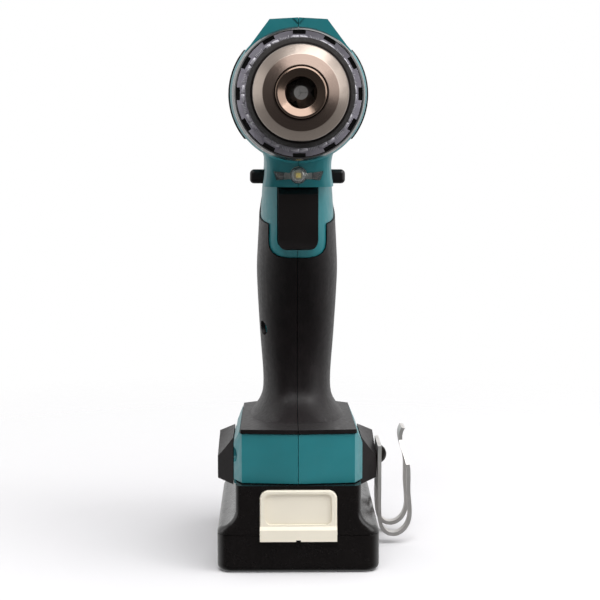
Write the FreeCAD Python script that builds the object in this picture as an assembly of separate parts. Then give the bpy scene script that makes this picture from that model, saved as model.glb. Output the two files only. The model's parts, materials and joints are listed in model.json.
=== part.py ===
import FreeCAD, Part
import math
import os

# Cordless drill driver, in millimetres. Z is up and the chuck points along -Y.
# The origin is the centre of the battery's underside. Every node is written in its place.

V = FreeCAD.Vector
Y_AXIS = V(0, 1, 0)
Z_AXIS = V(0, 0, 1)

# Housing
SPINDLE_Z = 181.5
WALL = 2.4
SEAM = 0.1
HEAD_FRONT_Y = -47.0
HEAD_BACK_Y = 77.0
HEAD_INNER_R = 24.6
FOOT_BOTTOM_Z = 34.4
FOOT_TOP_FRONT_Z = 54.6
FOOT_TOP_FALL = 0.05
CHIN_BOTTOM_Z = 147.2
LAMP_Z = 151.7
TRIGGER_Z = 134.0

# Soft overmould: how deep it is let in, how proud it stands, and the groove around it
SOFT_DEPTH = 1.0
SOFT_PROUD = 0.6
SOFT_FIT = 0.05
SOFT_GROOVE = 0.3

# Housing screws, M3 thread-forming, driven from the left
SCREW_SITES_YZ = [(-33, 44), (34, 44), (-2, 89), (19, 152), (-26, 155.6), (66, 195), (66, 168)]
SCREW_SEAT_X = -7.0
SCREW_TIP_X = 9.0
SCREW_R = 1.45
SCREW_HEAD_R = 2.6
SCREW_HEAD_H = 2.4
COUNTERBORE_R = 2.9
BOSS_R = 4.2

# Gears: every stage has a 48-tooth ring
MODULE = 0.7
RING_TEETH = 48
MOTOR_PINION_TEETH = 12
FIRST_PLANET_TEETH = 18
SUN_TEETH = 18
PLANET_TEETH = 15
PLANETS = 3
PRESSURE_ANGLE = math.radians(20)
TOOTH_THINNING = 0.07
ADDENDUM = 0.88 * MODULE
DEDENDUM = 1.25 * MODULE
RING_OUTER_R = 19.1
PIN_R = 1.5
RUNNING_FIT = 0.05

# Gear case
CASE_FRONT_Y = -46.5
CASE_BACK_Y = -3.0
CASE_R = 20.4
NOSE_R = 10.9
NOSE_FRONT_Y = -64.4

# Motor
MOTOR_R = 17.9
MOTOR_FRONT_Y = -2.0
MOTOR_BACK_Y = 54.0
SHAFT_R = 1.6

# Chuck
JAW_SLOPE = math.radians(15)
JAW_R = 3.0
JAW_TIP_Y = -107.2
JAW_TIP_OFFSET = 2.3
JAW_LENGTH = 19.2
MOUTH_R = 5.3
CHUCK_FRONT_Y = -112.0
CHUCK_BODY_R = 13.2
SLEEVE_R = 18.5
SLEEVE_BORE_R = 17.3
JAW_ANGLES = [60, 180, 300]

# Torque ring
RING_GRIPS = 12
TORQUE_RING_R = 22.9

# Battery
CASE_HALF_X = 31.1
CASE_HALF_Y = 44.0
NECK_HALF_X = 24.0
NECK_START_Z = 24.8
LOWER_CASE_TOP_Z = 14.6
UPPER_CASE_BOTTOM_Z = 14.8
BATTERY_TOP_Z = 34.0
CELL_R = 9.1
CELL_LENGTH = 65.0
CELL_X = 18.5
CELL_Z = 10.9
BATTERY_WALL = 1.6
RAIL_Z = (27.0, 30.0)
BLADE_X = (-12, -5, 5, 12)
CASE_SCREW_X = 24.0

# Belt hook
HOOK_THICKNESS = 1.5
HOOK_FRONT_Y = -3.0
HOOK_BACK_Y = 19.0
HOOK_SCREW_YZ = (8.0, 35.2)
HOOK_SCREW_R = 1.6
LUG_OUTER_X = 31.5


def box(x0, x1, y0, y1, z0, z1):
    return Part.makeBox(x1 - x0, y1 - y0, z1 - z0, V(x0, y0, z0))


def cylinder_x(radius, x0, x1, y, z):
    return Part.makeCylinder(radius, x1 - x0, V(x0, y, z), V(1, 0, 0))


def cylinder_z(radius, x, y, z0, z1):
    return Part.makeCylinder(radius, z1 - z0, V(x, y, z0), Z_AXIS)


def disc(radius, y0, y1, x=0.0, z=SPINDLE_Z):
    return Part.makeCylinder(radius, y1 - y0, V(x, y0, z), Y_AXIS)


def tube(outer, inner, y0, y1, x=0.0, z=SPINDLE_Z):
    return disc(outer, y0, y1, x, z).cut(disc(inner, y0 - 1, y1 + 1, x, z))


def fuse(shapes):
    shapes = list(shapes)
    return shapes[0].fuse(shapes[1:]).removeSplitter() if len(shapes) > 1 else shapes[0]


def closed_face(points):
    return Part.Face(Part.makePolygon(points + [points[0]]))


def plate_x(points_yz, x0, x1):
    """A flat outline in Y and Z, made thick along X."""
    return closed_face([V(x0, y, z) for y, z in points_yz]).extrude(V(x1 - x0, 0, 0))


def plate_y(points_xz, y0, y1):
    """A flat outline in X and Z, made thick along Y."""
    return closed_face([V(x, y0, z) for x, z in points_xz]).extrude(V(0, y1 - y0, 0))


def plate_z(points_xy, z0, z1):
    """A flat outline in X and Y, made thick along Z."""
    return closed_face([V(x, y, z0) for x, y in points_xy]).extrude(V(0, 0, z1 - z0))


def turned(points_ry, z=SPINDLE_Z):
    """A body turned about the spindle axis from its half section of radius and Y."""
    face = closed_face([V(r, y, z) for r, y in points_ry])
    return face.revolve(V(0, 0, z), Y_AXIS, 360)


def around(shape, degrees):
    """A copy turned about the spindle axis, from +X towards +Z."""
    copy = shape.copy()
    copy.rotate(V(0, 0, SPINDLE_Z), Y_AXIS, -degrees)
    return copy


def mirrored(shape):
    return shape.mirror(V(0, 0, 0), V(1, 0, 0))


def edges_along(shape, direction):
    """The straight edges that run along a direction."""
    found = []
    for edge in shape.Edges:
        if isinstance(edge.Curve, Part.Line) and abs(edge.tangentAt(edge.FirstParameter).dot(direction)) > 0.999:
            found.append(edge)
    return found


def export(shape, node):
    shape.exportStep("parts/" + node + ".step")


# ---------------------------------------------------------------- outer form


def oval(z, y_front, y_back, half_width, power):
    """A horizontal rounded section as one periodic curve."""
    centre = (y_front + y_back) / 2
    half_depth = (y_back - y_front) / 2
    count = 24
    points = []
    for i in range(count):
        c = math.cos(2 * math.pi * i / count)
        s = math.sin(2 * math.pi * i / count)
        x = half_width * math.copysign(abs(c) ** (2 / power), c)
        y = centre + half_depth * math.copysign(abs(s) ** (2 / power), s)
        points.append(V(x, y, z))
    curve = Part.BSplineCurve()
    curve.interpolate(Points=points, PeriodicFlag=True)
    return Part.Wire([curve.toShape()])


def oval_loft(sections, power, grow):
    wires = [oval(z, front - grow, back + grow, half + grow, power) for z, front, back, half in sections]
    return Part.makeLoft(wires, True, False)


def grip_form(grow):
    sections = [
        (47, -36, 38, 21.8),
        (52, -30, 37, 18.8),
        (56.5, -19, 35, 15.5),
        (61, -11.5, 32.5, 13.5),
        (68, -9.0, 31, 13.1),
        (80, -8.5, 28.5, 13.9),
        (92, -10.5, 27, 14.7),
        (104, -15, 26, 15.3),
        (115, -20.5, 25, 15.5),
        (124, -25, 25, 15.0),
        (134, -26.5, 26, 14.5),
        (146, -27.5, 28, 13.8),
        (154, -31, 31, 13.2),
        (161, -35, 35, 13.6),
        (168, -38, 38, 17.0),
        (174, -40, 40, 21.0),
    ]
    return oval_loft(sections, 2.5, grow)


def chin_form(grow):
    sections = [
        (CHIN_BOTTOM_Z - grow, -42.2, -14, 13.3),
        (153, -43.2, -14, 12.5),
        (159, -44.6, -14, 13.0),
        (165, -45.6, -14, 16.0),
        (172, -46.0, -14, 20.5),
    ]
    return oval_loft(sections, 4.0, grow)


def head_form(grow):
    """The barrel, turned about the spindle axis, with a domed rear."""
    front = HEAD_FRONT_Y - min(grow, 0)
    outline = [(front + 3, 25.3), (-20, 25.9), (5, 26.4), (40, 26.4), (56, 25.9), (68, 23.2), (74.5, 18.5)]
    outline.append((HEAD_BACK_Y, 12.0))
    points = [V(r + grow, y + (grow if i > 4 else 0), SPINDLE_Z) for i, (y, r) in enumerate(outline)]
    side = Part.BSplineCurve()
    side.interpolate(points)
    corner = V(24.5 + grow, front, SPINDLE_Z)
    front_centre = V(0, front, SPINDLE_Z)
    back_centre = V(0, points[-1].y, SPINDLE_Z)
    edges = [
        Part.LineSegment(front_centre, corner).toShape(),
        Part.LineSegment(corner, points[0]).toShape(),
        side.toShape(),
        Part.LineSegment(points[-1], back_centre).toShape(),
        Part.LineSegment(back_centre, front_centre).toShape(),
    ]
    return Part.Face(Part.Wire(edges)).revolve(V(0, 0, SPINDLE_Z), Y_AXIS, 360)


def crown_form(grow):
    """The flat-topped block along the top of the barrel."""
    def section(y, top, inset):
        points = [
            V(-19.6 - grow + inset, y, 196.8),
            V(-10.6 - 0.5 * grow, y, top - 0.6 + grow),
            V(0, y, top + grow),
            V(10.6 + 0.5 * grow, y, top - 0.6 + grow),
            V(19.6 + grow - inset, y, 196.8),
        ]
        return Part.makePolygon(points + [points[0]])

    front = section(HEAD_FRONT_Y, 209.4, 0)
    middle = section(8, 210.8, 0)
    back = section(50, 206.6, 2)
    return Part.makeLoft([front, middle, back], True, True)


def foot_top(y):
    return FOOT_TOP_FRONT_Z - FOOT_TOP_FALL * (y + 42.0)


def foot_form(grow):
    """The block over the battery. Its top falls a little to the rear and is bevelled along both sides."""
    outline = [
        (0, -42.4 - grow),
        (21.6 + 0.7 * grow, -40.2 - grow),
        (24.8 + grow, -33.0 - 0.4 * grow),
        (24.8 + grow, 34.0 + 0.4 * grow),
        (17.0 + 0.5 * grow, 42.0 + grow),
    ]
    outline += [(-x, y) for x, y in reversed(outline[1:])]
    body = plate_z(outline, FOOT_BOTTOM_Z - min(grow, 0), 70)
    side = [(-60, FOOT_BOTTOM_Z - 5), (-60, foot_top(-60) + grow), (60, foot_top(60) + grow), (60, FOOT_BOTTOM_Z - 5)]
    body = body.common(plate_x(side, -40, 40))

    def bevel_section(y):
        top = foot_top(y) + grow
        points = [(22.4 + grow, top + 1), (22.4 + grow, top), (25.1 + grow, top - 6.4), (50, top - 6.4), (50, top + 1)]
        wire = [V(x, y, z) for x, z in points]
        return Part.makePolygon(wire + [wire[0]])

    bevel = Part.makeLoft([bevel_section(-60), bevel_section(60)], True, True)
    return body.cut([bevel, mirrored(bevel)])


def lug_form(grow):
    """The battery rail's outer lug, on the right. Its front face slants back."""
    def section(y, corner_z, top_z):
        points = [
            V(20, y, 26.4 - grow),
            V(24.5, y, 26.8 - grow),
            V(LUG_OUTER_X + grow, y, 28.4 - grow),
            V(LUG_OUTER_X + grow, y, corner_z + 0.6 * grow),
            V(25.4 + 0.5 * grow, y, top_z + grow),
            V(20, y, top_z + grow),
        ]
        return Part.makePolygon(points + [points[0]])

    body = Part.makeLoft([section(-14, 34.6, 45.3), section(26 + grow, 41.2, 43.6)], True, True)
    slant = plate_z([(20, -14 - grow), (33 + grow, -0.5 - grow), (40, -0.5), (40, -30), (20, -30)], 20, 50)
    inner = box(10, 24.3 - min(grow, 0), -30, 50, 10, FOOT_BOTTOM_Z + 0.1)
    return body.cut(slant).cut(inner)


def right_half(forms):
    """The forms joined, right of the seam."""
    side = box(SEAM, 60, -90, 110, 0, 240)
    whole = forms[0].common(side)
    for form in forms[1:]:
        whole = whole.fuse(form.common(side))
    return whole


def outer_half(grow):
    return right_half(
        [head_form(grow), grip_form(grow), chin_form(grow), foot_form(grow), crown_form(grow), lug_form(grow)]
    )


def cavity_half(grow):
    return right_half([head_form(grow), grip_form(grow), chin_form(grow), foot_form(grow)])


# ------------------------------------------------------------------- housing


def soft_zone(extra):
    """Where the overmould lies on the right: grip, foot top, rear and flank of the head, and the lug."""
    grip = [
        (-60, 131.6),
        (-19.5, 132.0),
        (-8.0, 133.6),
        (6.0, 137.0),
        (16.0, 146.0),
        (23.0, 155.0),
        (31.0, 161.5),
        (40.0, 166.0),
        (47.0, 175.0),
        (51.0, 190.0),
        (58.0, 203.0),
        (66.0, 215.0),
        (100, 215),
        (100, foot_top(100) - 0.9),
        (-60, foot_top(-60) - 0.9),
    ]
    flank = [(-40.5, 167.5), (-37.5, 165.0), (60, 165.0), (60, 198.0), (-37.5, 198.0), (-40.5, 195.5)]
    zones = []
    for outline in (grip, flank):
        face = closed_face([V(-45, y, z) for y, z in outline])
        if extra:
            face = face.makeOffset2D(extra)
        zones.append(face.extrude(V(90, 0, 0)))
    foot_side = box(22.2 + extra, 50, -60, 60, 30, 62)
    zones[0] = zones[0].cut([trigger_surround(-extra), foot_side])
    zones.append(box(25.7 - extra, 45, -30, 60, 20, 47.5))
    return fuse(zones).common(box(SEAM, 60, -90, 110, 0, 240))


def trigger_surround(extra):
    """The U of hard housing that runs down both sides of the trigger and under it."""
    half = [(11.4, 141), (11.4, 125.0), (11.0, 122.6), (9.8, 120.7), (7.6, 119.4), (4.2, 118.8)]
    outline = half + [(-x, z) for x, z in reversed(half)]
    face = closed_face([V(x, -60, z) for x, z in outline])
    if extra:
        face = face.makeOffset2D(extra)
    return face.extrude(V(0, 48, 0))


def screw_holes_left():
    holes = []
    for y, z in SCREW_SITES_YZ:
        holes.append(cylinder_x(COUNTERBORE_R, -45, SCREW_SEAT_X, y, z))
        holes.append(cylinder_x(SCREW_R + 0.2, SCREW_SEAT_X - 1, 0, y, z))
    return holes


def screw_holes_right():
    return [cylinder_x(SCREW_R + 0.02, 0, SCREW_TIP_X + 0.8, y, z) for y, z in SCREW_SITES_YZ]


def inner_features():
    """Screw bosses, rings that hold the gear case and the motor, and a shelf under the switch."""
    features = [cylinder_x(BOSS_R, 0, 40, y, z) for y, z in SCREW_SITES_YZ]
    features += [tube(HEAD_INNER_R, CASE_R + 0.2, y, y + 2) for y in (-36, -10)]
    features += [tube(HEAD_INNER_R, MOTOR_R + 0.2, y, y + 2) for y in (4, 40)]
    features.append(box(0, 14, -8, 8, 117.4, 119.5))
    inside = fuse(features).common(box(SEAM, 60, -90, 110, 0, 240))
    lead_channel = box(0, 7.5, 0, 60, 150, 162.6)
    motor_room = disc(MOTOR_R + 0.2, MOTOR_FRONT_Y, 60)
    gear_room = disc(CASE_R + 0.2, -50, CASE_BACK_Y + 1)
    inside = inside.cut([motor_room, gear_room, lead_channel])
    return inside.common(cavity_half(0.3 - WALL))


def lens_outline(extra):
    return [
        (-9.3 - extra, 153.1 + extra),
        (-3.0, 152.3 + extra),
        (3.0, 152.3 + extra),
        (9.3 + extra, 153.1 + extra),
        (8.0 + extra, 149.9 - extra),
        (3.0, 150.3 - extra),
        (-3.0, 150.3 - extra),
        (-8.0 - extra, 149.9 - extra),
    ]


def housing_openings():
    cuts = [
        disc(CASE_R + 0.15, -60, -40),
        trigger_window(),
        box(-40, 40, -17.4, -10.6, 147.05, 153.15),
        plate_y(lens_outline(0.12), -60, -30).common(box(-30, 30, -60, -39.5, 140, 160)),
        disc(3.25, -60, -39.5, 0, LAMP_Z),
        box(-6.3, 6.3, -32.5, -18.5, 200, 220),
        box(-8.8, 8.8, -38.5, -12.6, 200, 207.0),
        box(-15, 15, 4, 24, 30, 40),
        box(-6.6, 6.6, -38.9, -33.4, 30, 37.4),
    ]
    cuts += vent_slots()
    return cuts


def trigger_window():
    window = box(-7.95, 7.95, -60, -16, 122.1, CHIN_BOTTOM_Z)
    return window.makeFillet(4.0, [e for e in edges_along(window, Y_AXIS) if e.CenterOfMass.z < 130])


def vent_slots():
    """Cooling slots through both flanks, beside the fan and beside the brushes."""
    slots = []
    for y in (11, 16, 21, 26):
        slots.append(box(-40, 40, y, y + 2.2, 176, 190))
    for y in (62.6, 66.6):
        slots.append(box(-40, 40, y, y + 2.0, 176, 187))
    return slots


def pointer_groove():
    stroke = [(-3.4, 209.8), (-2.5, 209.8), (0, 207.3), (2.5, 209.8), (3.4, 209.8), (0, 206.2)]
    return plate_y(stroke, HEAD_FRONT_Y - 1, HEAD_FRONT_Y + 0.5)


def rail_tongue():
    """The rail under the foot that the battery slides on."""
    return box(21.7, 25.2, -6, 24, RAIL_Z[0] + 0.2, RAIL_Z[1] - 0.2)


def hook_hole(radius, x0, x1):
    return cylinder_x(radius, x0, x1, *HOOK_SCREW_YZ)


def build_housing():
    shell = outer_half(0).cut(cavity_half(-WALL))
    layer = outer_half(SOFT_PROUD + 1).cut(outer_half(-SOFT_DEPTH - SOFT_FIT))
    shell = shell.cut(layer.common(soft_zone(SOFT_GROOVE)))
    shell = shell.fuse([inner_features(), rail_tongue()])
    shell = shell.cut(housing_openings() + [pointer_groove(), hook_hole(HOOK_SCREW_R + 0.05, 25, 40)])
    right = shell.cut(screw_holes_right())
    left = mirrored(shell).cut(screw_holes_left())
    return left, right


def build_overmould():
    layer = outer_half(SOFT_PROUD).cut(outer_half(-SOFT_DEPTH))
    soft = layer.common(soft_zone(0))
    soft = soft.cut(vent_slots() + [trigger_window(), hook_hole(3.0, 28, 40)])
    holes = [cylinder_x(COUNTERBORE_R, -45, SCREW_SEAT_X, y, z) for y, z in SCREW_SITES_YZ]
    return mirrored(soft).cut(holes), soft


def largest(shape):
    """The one solid that matters, without the slivers a boundary can leave."""
    return max(shape.Solids, key=lambda solid: solid.Volume)


def large_solids(shape, smallest=20.0):
    return Part.makeCompound([solid for solid in shape.Solids if solid.Volume > smallest])


def housing_screws():
    screws = []
    for y, z in SCREW_SITES_YZ:
        head = cylinder_x(SCREW_HEAD_R, SCREW_SEAT_X - SCREW_HEAD_H, SCREW_SEAT_X, y, z)
        head = head.makeFillet(0.8, [min(head.Edges, key=lambda e: e.CenterOfMass.x)])
        shank = cylinder_x(SCREW_R, SCREW_SEAT_X - 1, SCREW_TIP_X, y, z)
        slot = SCREW_SEAT_X - SCREW_HEAD_H
        cross = [box(slot - 1, slot + 1.3, y - 1.5, y + 1.5, z - 0.35, z + 0.35)]
        cross.append(box(slot - 1, slot + 1.3, y - 0.35, y + 0.35, z - 1.5, z + 1.5))
        screws.append(head.fuse(shank).cut(cross))
    return Part.makeCompound(screws)


# --------------------------------------------------------------------- gears


def involute(angle):
    return math.tan(angle) - angle


def half_angle(radius, teeth, thinning):
    """Half of a tooth's width at a radius, as an angle."""
    pitch_r = MODULE * teeth / 2
    base_r = pitch_r * math.cos(PRESSURE_ANGLE)
    at = math.acos(min(1.0, base_r / max(radius, base_r)))
    width = math.pi / (2 * teeth) - thinning / pitch_r
    return width + involute(PRESSURE_ANGLE) - involute(at)


def toothed_outline(teeth, phase, y, x=0.0, z=SPINDLE_Z):
    """The outline of an outward-toothed gear, with a tooth centred at the phase angle."""
    pitch_r = MODULE * teeth / 2
    base_r = pitch_r * math.cos(PRESSURE_ANGLE)
    root_r = pitch_r - DEDENDUM
    tip_r = pitch_r + ADDENDUM
    waist_r = max(base_r, root_r + 0.12)
    flank = [(root_r, 0.86 if root_r < base_r else 1.0), (waist_r, 1.0), (pitch_r, 1.0), (tip_r, 1.0)]
    points = []
    for i in range(teeth):
        centre = phase + 2 * math.pi * i / teeth
        for side, stations in ((-1, flank), (1, flank[::-1])):
            for radius, share in stations:
                a = centre + side * share * half_angle(radius, teeth, TOOTH_THINNING)
                points.append(V(x + radius * math.cos(a), y, z + radius * math.sin(a)))
    return points


def spur_gear(teeth, phase, y0, y1, bore=0.0, x=0.0, z=SPINDLE_Z):
    gear = closed_face(toothed_outline(teeth, phase, y0, x, z)).extrude(V(0, y1 - y0, 0))
    if bore:
        gear = gear.cut(disc(bore, y0 - 1, y1 + 1, x, z))
    return gear


def ring_gear(phase, y0, y1, outer=RING_OUTER_R):
    """A ring with 48 inward teeth: the spaces have the form of an outward gear's teeth."""
    pitch_r = MODULE * RING_TEETH / 2
    points = []
    for i in range(RING_TEETH):
        centre = phase + 2 * math.pi * i / RING_TEETH
        stations = (pitch_r + DEDENDUM, pitch_r, pitch_r - ADDENDUM)
        for side, radii in ((-1, stations[::-1]), (1, stations)):
            for radius in radii:
                space = half_angle(radius, RING_TEETH, -TOOTH_THINNING)
                a = centre + math.pi / RING_TEETH + side * space
                points.append(V(radius * math.cos(a), y0, SPINDLE_Z + radius * math.sin(a)))
    bore = closed_face(points).extrude(V(0, y1 - y0, 0))
    return disc(outer, y0, y1).cut(bore)


def planet_angles(start):
    return [start + 2 * math.pi * k / PLANETS for k in range(PLANETS)]


def planet_phase(at, sun_teeth, sun_phase, planet_teeth):
    """The phase at which a planet's teeth fall in the sun's spaces."""
    sun_pitch = 2 * math.pi / sun_teeth
    planet_pitch = 2 * math.pi / planet_teeth
    sun_share = (at - sun_phase) / sun_pitch
    return at + math.pi - planet_pitch * (0.5 - sun_share)


def ring_phase(at, planet_teeth, phase):
    """The phase at which the ring's teeth fall in that planet's spaces."""
    planet_share = (at - phase) * planet_teeth / (2 * math.pi)
    return at - (0.5 + planet_share) * 2 * math.pi / RING_TEETH


def planet_centre(radius, at):
    return radius * math.cos(at), SPINDLE_Z + radius * math.sin(at)


def planet_gear(sun_teeth, planet_teeth, at, y0, y1):
    distance = MODULE * (sun_teeth + planet_teeth) / 2
    x, z = planet_centre(distance, at)
    phase = planet_phase(at, sun_teeth, 0.0, planet_teeth)
    return spur_gear(planet_teeth, phase, y0, y1, PIN_R + RUNNING_FIT, x, z)


def matching_ring(sun_teeth, planet_teeth, start, y0, y1):
    phase = planet_phase(start, sun_teeth, 0.0, planet_teeth)
    return ring_gear(ring_phase(start, planet_teeth, phase), y0, y1)


def carrier_pins(sun_teeth, planet_teeth, start, y0, y1):
    distance = MODULE * (sun_teeth + planet_teeth) / 2
    pins = []
    for at in planet_angles(start):
        x, z = planet_centre(distance, at)
        pins.append(disc(PIN_R, y0, y1, x, z))
    return pins


STAGE_START = math.radians(90)


def build_gears():
    nodes = {}
    for k, at in enumerate(planet_angles(STAGE_START)):
        name = "first_planet_" + str(k + 1)
        nodes[name] = planet_gear(MOTOR_PINION_TEETH, FIRST_PLANET_TEETH, at, -16.8, -7.8)
        name = "third_planet_" + str(k + 1)
        nodes[name] = planet_gear(SUN_TEETH, PLANET_TEETH, at, -40.2, -33.3)
    middle = [planet_gear(SUN_TEETH, PLANET_TEETH, at, -30.3, -21.0) for at in planet_angles(STAGE_START)]
    nodes["second_planets"] = Part.makeCompound(middle)

    ring_1 = matching_ring(MOTOR_PINION_TEETH, FIRST_PLANET_TEETH, STAGE_START, -16.0, -6.4)
    keys = [around(box(18.5, 19.9, -15.5, -7, SPINDLE_Z - 1.5, SPINDLE_Z + 1.5), a) for a in (0, 90, 180, 270)]
    nodes["first_ring_gear"] = ring_1.fuse([key.cut(disc(18.8, -20, 0)) for key in keys])

    ring_2 = matching_ring(SUN_TEETH, PLANET_TEETH, STAGE_START, -28.4, -17.1)
    nodes["shift_ring_gear"] = ring_2.cut(tube(21, 18.35, -24.6, -22.6))

    ring_3 = matching_ring(SUN_TEETH, PLANET_TEETH, STAGE_START, -43.3, -33.0)
    front = tube(RING_OUTER_R, 11.6, -43.3, -41.9)
    dimples = [around(Part.makeSphere(1.95, V(15.0, -45.15, SPINDLE_Z)), a) for a in ball_angles()]
    nodes["clutch_ring_gear"] = ring_3.fuse(front).cut(dimples)

    pins = carrier_pins(MOTOR_PINION_TEETH, FIRST_PLANET_TEETH, STAGE_START, -17.4, -7.6)
    dog = spur_gear(RING_TEETH, 0.0, -20.4, -17.4)
    phase = planet_phase(STAGE_START, SUN_TEETH, 0.0, PLANET_TEETH)
    turn = ring_phase(STAGE_START, PLANET_TEETH, phase) + math.pi / RING_TEETH
    dog.rotate(V(0, 0, SPINDLE_Z), Y_AXIS, -math.degrees(turn))
    sun = spur_gear(SUN_TEETH, 0.0, -30.2, -20.4)
    nodes["first_carrier"] = fuse([dog, sun] + pins)

    pins = carrier_pins(SUN_TEETH, PLANET_TEETH, STAGE_START, -30.9, -20.9)
    sun = spur_gear(SUN_TEETH, 0.0, -40.1, -32.6)
    nodes["second_carrier"] = fuse([disc(14.8, -32.7, -30.7), sun] + pins)
    nodes["motor_pinion"] = spur_gear(MOTOR_PINION_TEETH, 0.0, -16.8, -6.0, SHAFT_R + 0.01)
    return nodes


# ------------------------------------------------------- gear case and clutch


def ball_angles():
    return [60 * k + 30 for k in range(6)]


def build_gear_case():
    shell = tube(CASE_R, RING_OUTER_R + 0.1, -43.9, CASE_BACK_Y)
    wall = tube(CASE_R, 8.0, CASE_FRONT_Y, -43.8)
    nose = tube(NOSE_R, 8.42, NOSE_FRONT_Y, CASE_FRONT_Y + 0.1)
    case = fuse([shell, wall, nose])
    cuts = [around(disc(1.98, -50, -43, 15.0), a) for a in ball_angles()]
    cuts += [around(box(18.6, 20.0, -16.2, -2, SPINDLE_Z - 1.6, SPINDLE_Z + 1.6), a) for a in (0, 90, 180, 270)]
    cuts += [box(-30, 30, -28.9, -22.3, SPINDLE_Z - 1.3, SPINDLE_Z + 1.3)]
    for degrees in (90, 270):
        cuts.append(around(box(10.2, 11.5, -61, -50, SPINDLE_Z - 1.2, SPINDLE_Z + 1.2), degrees))
    plate = tube(RING_OUTER_R, 6.5, -5.4, -3.2)
    plate = plate.cut([around(disc(1.6, -6, -2, 10.0), a) for a in (45, 225)])
    return Part.makeCompound([case.cut(cuts), plate])


def coil(radius, wire, y0, y1, turns, x=0.0, z=SPINDLE_Z):
    """A compression spring along Y, its wire swept along one smooth helical curve."""
    length = y1 - y0 - 2 * wire
    steps = int(turns * 12)
    points = []
    for i in range(steps + 1):
        a = 2 * math.pi * turns * i / steps
        points.append(V(radius * math.cos(a), y0 + wire + length * i / steps, radius * math.sin(a)))
    line = Part.BSplineCurve()
    line.interpolate(points)
    section = Part.Wire([Part.makeCircle(wire, points[0], line.tangent(line.FirstParameter)[0])])
    spring = Part.Wire([line.toShape()]).makePipeShell([section], True, True)
    spring.translate(V(x, 0, z))
    return spring


def build_clutch():
    nodes = {}
    balls = [around(Part.makeSphere(1.9, V(15.0, -45.15, SPINDLE_Z)), a) for a in ball_angles()]
    nodes["clutch_balls"] = Part.makeCompound(balls + [tube(17.0, NOSE_R + 0.2, -48.1, -47.1)])
    nodes["clutch_spring"] = coil(13.6, 0.8, -57.1, -48.2, 3.4)
    nut = tube(16.9, NOSE_R + 0.12, -59.8, -57.2)
    keys = [around(box(10.4, 12, -59.8, -57.2, SPINDLE_Z - 1.0, SPINDLE_Z + 1.0), a) for a in (90, 270)]
    nodes["clutch_nut"] = fuse([nut] + keys)
    nodes["torque_ring"] = torque_ring()
    return nodes


def torque_ring():
    """The clutch's setting ring: twelve pockets in its front and twelve grip grooves around it."""
    profile = [
        (17.2, -47.5),
        (24.0, -47.5),
        (24.5, -48.3),
        (24.3, -51.0),
        (23.3, -54.0),
        (TORQUE_RING_R + 0.2, -65.5),
        (TORQUE_RING_R - 0.3, -66.0),
        (22.3, -65.9),
        (19.4, -64.9),
        (19.1, -64.5),
        (19.0, -62.4),
        (11.5, -62.4),
        (11.5, -60.2),
        (17.2, -60.2),
    ]
    ring = turned(profile)
    pocket = box(21.05, 22.35, -70, -63.4, SPINDLE_Z - 2.3, SPINDLE_Z + 2.3)
    groove = box(22.4, 30, -63.0, -55.5, SPINDLE_Z - 2.2, SPINDLE_Z + 2.2)
    return ring.cut([around(cut, 360 * k / RING_GRIPS) for k in range(RING_GRIPS) for cut in (pocket, groove)])


def build_spindle():
    nodes = {}
    shaft = turned([(0, -80.4), (4.4, -80.4), (4.8, -80.0), (4.8, -64.6), (6.0, -64.6), (6.0, -42.9), (0, -42.9)])
    disc_3 = disc(11.2, -42.9, -41.8).fuse(disc(14.8, -41.8, -40.4))
    pins = carrier_pins(SUN_TEETH, PLANET_TEETH, STAGE_START, -40.6, -33.2)
    spindle = fuse([shaft, disc_3] + pins)
    nodes["spindle"] = spindle.cut(disc(2.12, -81, -68))
    race = turned([(6.02, -63.8), (8.4, -63.8), (8.4, -58.8), (6.02, -58.8)])
    groove = turned([(6.8, -64.5), (7.6, -64.5), (7.6, -63.2), (6.8, -63.2)])
    nodes["spindle_bearings"] = Part.makeCompound([race.cut(groove), tube(8.4, 6.04, -52, -46.6)])
    head = turned([(0, -83.2), (3.4, -83.2), (3.4, -82.0), (2.1, -80.5), (2.1, -69), (0, -69)])
    socket = box(-1.1, 1.1, -84, -82.0, SPINDLE_Z - 1.1, SPINDLE_Z + 1.1)
    nodes["chuck_screw"] = head.cut(socket)
    return nodes


# --------------------------------------------------------------------- chuck


def jaw_axis():
    return V(math.sin(JAW_SLOPE), math.cos(JAW_SLOPE), 0)


def jaw_rod(radius, before, after):
    """A rod along the jaw's slanting axis, in the plane of angle zero."""
    along = jaw_axis()
    tip = V(JAW_TIP_OFFSET, JAW_TIP_Y, SPINDLE_Z)
    return Part.makeCylinder(radius, before + after, tip - along * before, along)


def chuck_body():
    profile = [
        (0, CHUCK_FRONT_Y),
        (8.0, CHUCK_FRONT_Y),
        (8.5, -111.6),
        (8.5, -108.0),
        (11.4, -105.4),
        (CHUCK_BODY_R, -102.0),
        (CHUCK_BODY_R, -92.2),
        (9.4, -92.2),
        (9.4, -88.8),
        (CHUCK_BODY_R, -88.8),
        (CHUCK_BODY_R, -67.2),
        (0, -67.2),
    ]
    mouth = [(0, -113), (7.9, -113), (7.9, -112.1), (MOUTH_R, -110.2), (MOUTH_R, JAW_TIP_Y)]
    mouth += [(MOUTH_R + 0.4, JAW_TIP_Y), (MOUTH_R + 0.4, -84.0), (0, -84.0)]
    body = turned(profile).cut(turned(mouth))
    body = body.cut(disc(4.82, -90, -60))
    holes = [around(jaw_rod(JAW_R + 0.1, 0.0, 46.0), a) for a in JAW_ANGLES]
    return body.cut(holes)


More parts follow.
